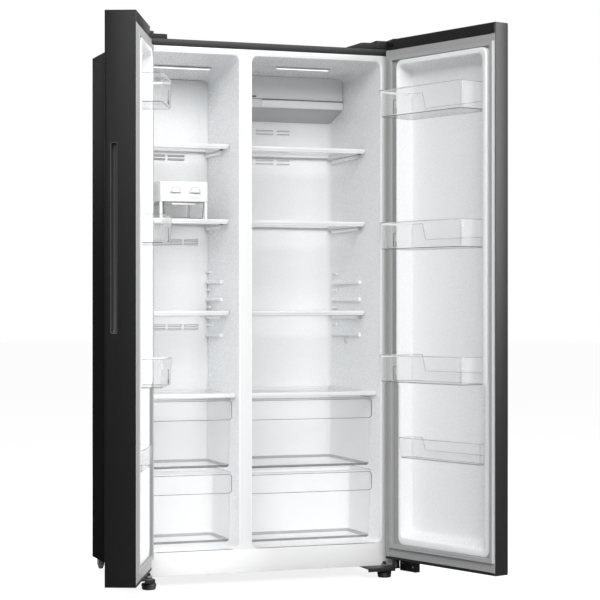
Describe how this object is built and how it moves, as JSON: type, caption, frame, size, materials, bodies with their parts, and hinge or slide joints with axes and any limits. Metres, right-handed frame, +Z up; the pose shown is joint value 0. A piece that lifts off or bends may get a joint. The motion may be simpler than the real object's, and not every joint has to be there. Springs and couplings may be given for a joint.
{
  "type": "side by side refrigerator",
  "caption": "Freestanding side by side refrigerator with hinged freezer and fridge doors, glass shelves, clear drawers, door baskets and a twist ice maker.",
  "frame": {"origin": "on the floor, under the middle of the cabinet's footprint", "axes": "+X to the right seen from the front, +Y to the back, +Z up"},
  "size_m": [1.2734, 1.0803, 1.79],
  "materials": {
    "black_steel": "satin",
    "white_steel": "satin",
    "zinc_steel": "satin",
    "black_enamel": "satin",
    "bare_aluminium": "satin",
    "white_liner": "gloss",
    "white_plastic": "satin",
    "grey_plastic": "matte",
    "black_plastic": "matte",
    "clear_plastic": "gloss",
    "shelf_glass": "gloss",
    "lamp_diffuser": "satin",
    "seal_rubber": "matte",
    "foam": "matte"
  },
  "bodies": {
    "cabinet": {"cabinet_shell": "black_steel", "rear_panel": "zinc_steel", "cabinet_foam": "foam", "freezer_liner": "white_liner", "fridge_liner": "white_liner", "front_frame": "white_steel", "base_rail": "white_plastic", "base_tray": "zinc_steel", "machine_cover": "zinc_steel", "freezer_air_cover": "white_plastic", "fridge_air_duct": "white_plastic", "ceiling_lamps": "lamp_diffuser", "evaporator": "bare_aluminium", "fan_motor": "black_plastic", "compressor": "black_enamel", "condenser": "black_enamel", "power_inlet": "black_plastic", "top_hinges": "zinc_steel", "hinge_covers": "black_plastic", "bottom_hinges": "black_enamel", "freezer_drawer_cover": "shelf_glass", "fridge_drawer_cover": "shelf_glass"},
    "fan": {"evaporator_fan": "white_plastic"},
    "left_foot": {"left_foot": "black_plastic"},
    "right_foot": {"right_foot": "black_plastic"},
    "left_roller": {"left_roller": "grey_plastic"},
    "right_roller": {"right_roller": "grey_plastic"},
    "freezer_shelf_1": {"freezer_shelf_1": "shelf_glass"},
    "freezer_shelf_2": {"freezer_shelf_2": "shelf_glass", "ice_frame": "white_plastic"},
    "freezer_shelf_3": {"freezer_shelf_3": "shelf_glass"},
    "fridge_shelf_1": {"fridge_shelf_1": "shelf_glass"},
    "fridge_shelf_2": {"fridge_shelf_2": "shelf_glass"},
    "fridge_shelf_3": {"fridge_shelf_3": "shelf_glass"},
    "freezer_upper_drawer": {"freezer_upper_drawer": "clear_plastic"},
    "freezer_lower_drawer": {"freezer_lower_drawer": "clear_plastic"},
    "fridge_upper_drawer": {"fridge_upper_drawer": "clear_plastic"},
    "fridge_lower_drawer": {"fridge_lower_drawer": "clear_plastic"},
    "left_ice_tray": {"left_ice_tray": "white_plastic"},
    "right_ice_tray": {"right_ice_tray": "white_plastic"},
    "ice_bin": {"ice_bin": "clear_plastic"},
    "freezer_door": {"freezer_door_skin": "black_steel", "freezer_door_caps": "black_plastic", "freezer_door_liner": "white_liner", "freezer_door_foam": "foam", "freezer_door_gasket": "seal_rubber", "freezer_door_grip": "black_plastic"},
    "fridge_door": {"fridge_door_skin": "black_steel", "fridge_door_caps": "black_plastic", "fridge_door_liner": "white_liner", "fridge_door_foam": "foam", "fridge_door_gasket": "seal_rubber"},
    "freezer_basket_1": {"freezer_basket_1": "clear_plastic"},
    "freezer_basket_2": {"freezer_basket_2": "clear_plastic"},
    "freezer_basket_3": {"freezer_basket_3": "clear_plastic"},
    "freezer_basket_4": {"freezer_basket_4": "clear_plastic"},
    "fridge_basket_1": {"fridge_basket_1": "clear_plastic"},
    "fridge_basket_2": {"fridge_basket_2": "clear_plastic"},
    "fridge_basket_3": {"fridge_basket_3": "clear_plastic"},
    "fridge_basket_4": {"fridge_basket_4": "clear_plastic"}
  },
  "joints": [
    {"name": "freezer_door_hinge", "type": "hinge", "parent": "cabinet", "child": "freezer_door", "pos_m": [-0.4365, -0.317, 0.9], "axis": [0, 0, -1], "range_deg": [-112.2, 7]},
    {"name": "fridge_door_hinge", "type": "hinge", "parent": "cabinet", "child": "fridge_door", "pos_m": [0.4365, -0.317, 0.9], "axis": [0, 0, 1], "range_deg": [-108.1, 11]},
    {"name": "freezer_shelf_1_slide", "type": "slide", "parent": "cabinet", "child": "freezer_shelf_1", "axis": [0, -1, 0], "range_m": [0, 0.2]},
    {"name": "fridge_shelf_1_slide", "type": "slide", "parent": "cabinet", "child": "fridge_shelf_1", "axis": [0, -1, 0], "range_m": [0, 0.24]},
    {"name": "freezer_shelf_2_slide", "type": "slide", "parent": "cabinet", "child": "freezer_shelf_2", "axis": [0, -1, 0], "range_m": [0, 0.2]},
    {"name": "fridge_shelf_2_slide", "type": "slide", "parent": "cabinet", "child": "fridge_shelf_2", "axis": [0, -1, 0], "range_m": [0, 0.24]},
    {"name": "freezer_shelf_3_slide", "type": "slide", "parent": "cabinet", "child": "freezer_shelf_3", "axis": [0, -1, 0], "range_m": [0, 0.2]},
    {"name": "fridge_shelf_3_slide", "type": "slide", "parent": "cabinet", "child": "fridge_shelf_3", "axis": [0, -1, 0], "range_m": [0, 0.24]},
    {"name": "freezer_upper_drawer_slide", "type": "slide", "parent": "cabinet", "child": "freezer_upper_drawer", "axis": [0, -1, 0], "range_m": [0, 0.24]},
    {"name": "freezer_lower_drawer_slide", "type": "slide", "parent": "cabinet", "child": "freezer_lower_drawer", "axis": [0, -1, 0], "range_m": [0, 0.19]},
    {"name": "fridge_upper_drawer_slide", "type": "slide", "parent": "cabinet", "child": "fridge_upper_drawer", "axis": [0, -1, 0], "range_m": [0, 0.34]},
    {"name": "fridge_lower_drawer_slide", "type": "slide", "parent": "cabinet", "child": "fridge_lower_drawer", "axis": [0, -1, 0], "range_m": [0, 0.19]},
    {"name": "left_ice_tray_twist", "type": "hinge", "parent": "freezer_shelf_2", "child": "left_ice_tray", "pos_m": [-0.282, -0.16, 1.2775], "axis": [0, 1, 0], "range_deg": [0, 130], "stiffness_Nm_per_rad": 0.05},
    {"name": "right_ice_tray_twist", "type": "hinge", "parent": "freezer_shelf_2", "child": "right_ice_tray", "pos_m": [-0.2165, -0.16, 1.2775], "axis": [0, 1, 0], "range_deg": [0, 130], "stiffness_Nm_per_rad": 0.05},
    {"name": "ice_bin_slide", "type": "slide", "parent": "freezer_shelf_2", "child": "ice_bin", "axis": [0, -1, 0], "range_m": [0, 0.16]},
    {"name": "freezer_basket_1_lift", "type": "slide", "parent": "freezer_door", "child": "freezer_basket_1", "axis": [0, 0, 1], "range_m": [0, 0.05]},
    {"name": "freezer_basket_2_lift", "type": "slide", "parent": "freezer_door", "child": "freezer_basket_2", "axis": [0, 0, 1], "range_m": [0, 0.05]},
    {"name": "freezer_basket_3_lift", "type": "slide", "parent": "freezer_door", "child": "freezer_basket_3", "axis": [0, 0, 1], "range_m": [0, 0.05]},
    {"name": "freezer_basket_4_lift", "type": "slide", "parent": "freezer_door", "child": "freezer_basket_4", "axis": [0, 0, 1], "range_m": [0, 0.05]},
    {"name": "fridge_basket_1_lift", "type": "slide", "parent": "fridge_door", "child": "fridge_basket_1", "axis": [0, 0, 1], "range_m": [0, 0.05]},
    {"name": "fridge_basket_2_lift", "type": "slide", "parent": "fridge_door", "child": "fridge_basket_2", "axis": [0, 0, 1], "range_m": [0, 0.05]},
    {"name": "fridge_basket_3_lift", "type": "slide", "parent": "fridge_door", "child": "fridge_basket_3", "axis": [0, 0, 1], "range_m": [0, 0.05]},
    {"name": "fridge_basket_4_lift", "type": "slide", "parent": "fridge_door", "child": "fridge_basket_4", "axis": [0, 0, 1], "range_m": [0, 0.05]},
    {"name": "evaporator_fan_spin", "type": "hinge", "parent": "cabinet", "child": "fan", "pos_m": [-0.2455, 0.11, 0.8], "axis": [0, 1, 0], "continuous": true},
    {"name": "left_foot_turn", "type": "hinge", "parent": "cabinet", "child": "left_foot", "pos_m": [-0.405, -0.289, 0.03], "axis": [0, 0, 1], "continuous": true},
    {"name": "left_roller_spin", "type": "hinge", "parent": "cabinet", "child": "left_roller", "pos_m": [-0.437, 0.225, 0.018], "axis": [1, 0, 0], "continuous": true},
    {"name": "right_foot_turn", "type": "hinge", "parent": "cabinet", "child": "right_foot", "pos_m": [0.405, -0.289, 0.03], "axis": [0, 0, 1], "continuous": true},
    {"name": "right_roller_spin", "type": "hinge", "parent": "cabinet", "child": "right_roller", "pos_m": [0.437, 0.225, 0.018], "axis": [1, 0, 0], "continuous": true}
  ]
}
